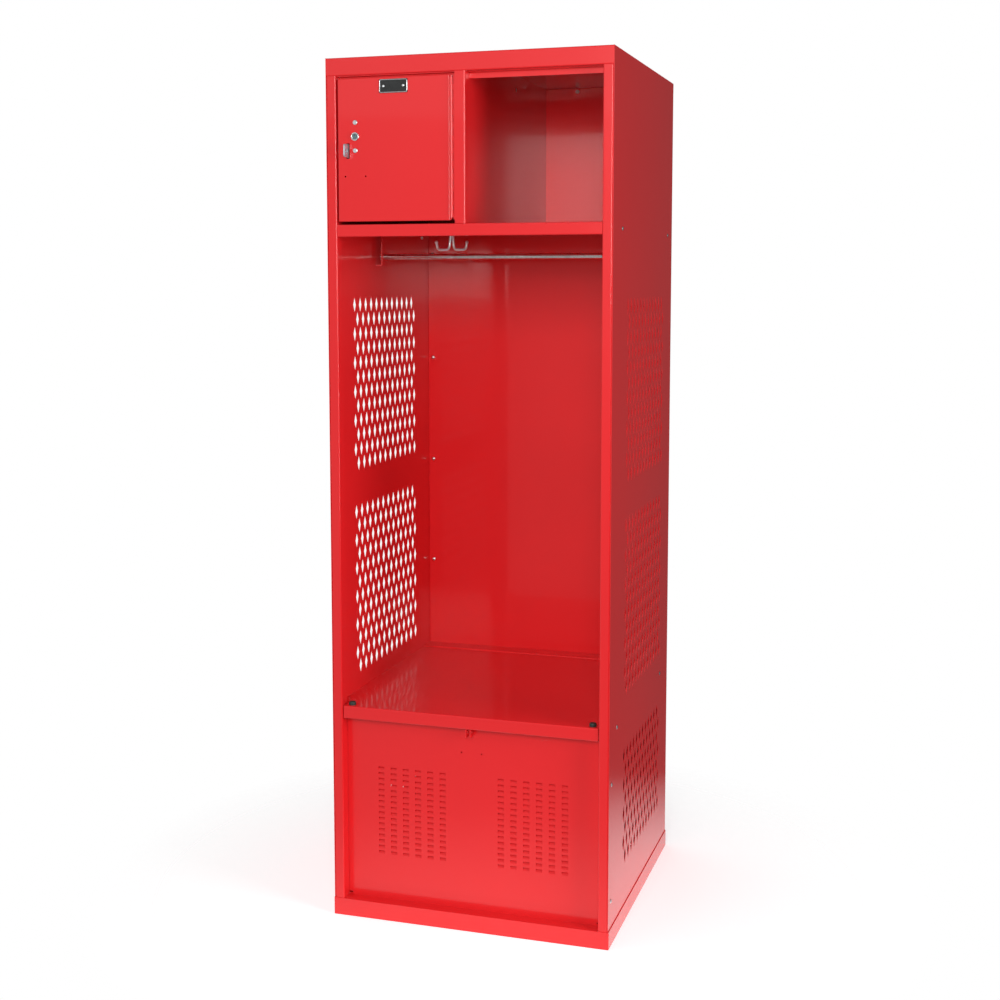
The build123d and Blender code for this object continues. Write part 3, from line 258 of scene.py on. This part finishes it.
# ---- added detail --------------------------------------------------------------------------
def bead(name, points, thick, material, body):
    """A closed round bead along the points, riding on a body."""
    curve = bpy.data.curves.new(name, "CURVE")
    curve.dimensions = "3D"
    curve.bevel_depth = thick
    curve.bevel_resolution = BEAD_ROUNDNESS
    spline = curve.splines.new("POLY")
    spline.points.add(len(points) - 1)
    for target, point in zip(spline.points, points):
        target.co = (*point, 1)
    spline.use_cyclic_u = True
    curve.materials.append(material)
    thing = bpy.data.objects.new(name, curve)
    bpy.context.scene.collection.objects.link(thing)
    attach(thing, body)


def turned(middle, radius, across, steps, start=0.0, turn=math.tau):
    """Points on an arc about a middle; across gives the two unit directions of its plane."""
    points = []
    for step in range(steps):
        angle = start + turn * step / steps
        points.append(Vector(middle) + Vector(across[0]) * (radius * math.cos(angle))
                      + Vector(across[1]) * (radius * math.sin(angle)))
    return points


def name_border():
    """Bare metal border round the blank name plate."""
    low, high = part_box("name_plate")
    x = (low[0] + BORDER_INSET + BORDER_ROUND, high[0] - BORDER_INSET - BORDER_ROUND)
    z = (low[2] + BORDER_INSET + BORDER_ROUND, high[2] - BORDER_INSET - BORDER_ROUND)
    points = []
    for quarter, (end_x, end_z) in enumerate(((1, 1), (0, 1), (0, 0), (1, 0))):
        middle = (x[end_x], low[1], z[end_z])
        points += turned(middle, BORDER_ROUND, ((1, 0, 0), (0, 0, 1)), CORNER_STEPS,
                         quarter * math.pi / 2, math.pi / 2)
    bead("name_border", points, BORDER_THICK, ZINC, DOOR)


def lock_bead():
    """Rounded rim on the ring of the lock."""
    case_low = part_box("lock_case")[0]
    plug_low, plug_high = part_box("lock_plug")
    middle = ((plug_low[0] + plug_high[0]) / 2, case_low[1] + LOCK_BEAD / 2,
              (plug_low[2] + plug_high[2]) / 2)
    radius = (plug_high[0] - plug_low[0]) / 2 + 2 * LOCK_BEAD
    bead("lock_bead", turned(middle, radius, ((1, 0, 0), (0, 0, 1)), CIRCLE_STEPS), LOCK_BEAD,
         CHROME, DOOR)


def bumper_lines():
    """Mould line round each rubber bumper."""
    low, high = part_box("lid_bumpers")
    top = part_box("seat_lid")[1][2]
    radius = (high[1] - low[1]) / 2
    middle_z = top + (high[2] - top) * BUMPER_LINE
    for name, middle_x in (("left", low[0] + radius), ("right", high[0] - radius)):
        middle = (middle_x, (low[1] + high[1]) / 2, middle_z)
        bead(f"{name}_bumper_line", turned(middle, radius, ((1, 0, 0), (0, 1, 0)), CIRCLE_STEPS),
             BUMPER_BEAD, RUBBER, LID)


# ---- stage ---------------------------------------------------------------------------------
def make_floor():
    """Pale floor under the locker that fades into the white backdrop."""
    mesh = bpy.data.meshes.new("floor")
    half = FLOOR_EDGE[1]
    mesh.from_pydata([(-half, -half, 0), (half, -half, 0), (half, half, 0), (-half, half, 0)],
                     [], [(0, 1, 2, 3)])
    floor = bpy.data.objects.new("floor", mesh)
    material, tree, shader = new_material("floor_paper")
    cloud = noise(tree, FLOOR_CLOUD, 3.0)
    stops = [(0.3, (0.86, 0.86, 0.87)), (0.7, (0.89, 0.89, 0.90))]
    tree.links.new(colours(tree, cloud, stops), shader.inputs["Base Color"])
    shader.inputs["Roughness"].default_value = FLOOR_ROUGHNESS
    shader.inputs["Specular IOR Level"].default_value = FLOOR_SHINE
    shader.inputs["Emission Color"].default_value = (1, 1, 1, 1)
    shader.inputs["Emission Strength"].default_value = FLOOR_GLOW
    place = add(tree, "ShaderNodeTexCoord")
    distance = add(tree, "ShaderNodeVectorMath", operation="LENGTH")
    tree.links.new(place.outputs["Object"], distance.inputs[0])
    fade = ramp(tree, distance.outputs["Value"], 1.0, 0.0, *FLOOR_EDGE)
    tree.links.new(fade, shader.inputs["Alpha"])
    mesh.materials.append(material)
    bpy.context.scene.collection.objects.link(floor)
    floor.location.z = -FLOOR_DROP


def area_light(name, place, target, size, power):
    """A rectangular lamp at a place, turned to a target."""
    data = bpy.data.lights.new(name, "AREA")
    data.shape = "RECTANGLE"
    data.size, data.size_y = size
    data.energy = power
    light = bpy.data.objects.new(name, data)
    light.location = place
    light.rotation_euler = (Vector(target) - Vector(place)).to_track_quat("-Z", "Y").to_euler()
    bpy.context.scene.collection.objects.link(light)


def make_world():
    """White backdrop; the room's light falls off from the left to the right."""
    world = bpy.data.worlds.new("studio")
    world.use_nodes = True
    tree = world.node_tree
    back = tree.nodes["Background"]
    place = add(tree, "ShaderNodeTexCoord")
    split = add(tree, "ShaderNodeSeparateXYZ")
    tree.links.new(place.outputs["Generated"], split.inputs["Vector"])
    room = ramp(tree, split.outputs["X"], *ROOM_LIGHT, *ROOM_TURN, curve="SMOOTHSTEP")
    path = add(tree, "ShaderNodeLightPath")
    mix = add(tree, "ShaderNodeMix", data_type="FLOAT")
    mix.inputs["B"].default_value = 1.0
    tree.links.new(path.outputs["Is Camera Ray"], mix.inputs["Factor"])
    tree.links.new(room, mix.inputs["A"])
    tree.links.new(mix.outputs["Result"], back.inputs["Strength"])
    back.inputs["Color"].default_value = (1, 1, 1, 1)
    bpy.context.scene.world = world


make_camera()
dress_cad()
name_border()
lock_bead()
bumper_lines()
make_floor()
make_world()
area_light("key", KEY_PLACE, KEY_TARGET, KEY_SIZE, KEY_POWER)
area_light("fill", FILL_PLACE, FILL_TARGET, FILL_SIZE, FILL_POWER)
area_light("sheen", SHEEN_PLACE, SHEEN_TARGET, SHEEN_SIZE, SHEEN_POWER)
bpy.context.scene.view_settings.view_transform = "Standard"
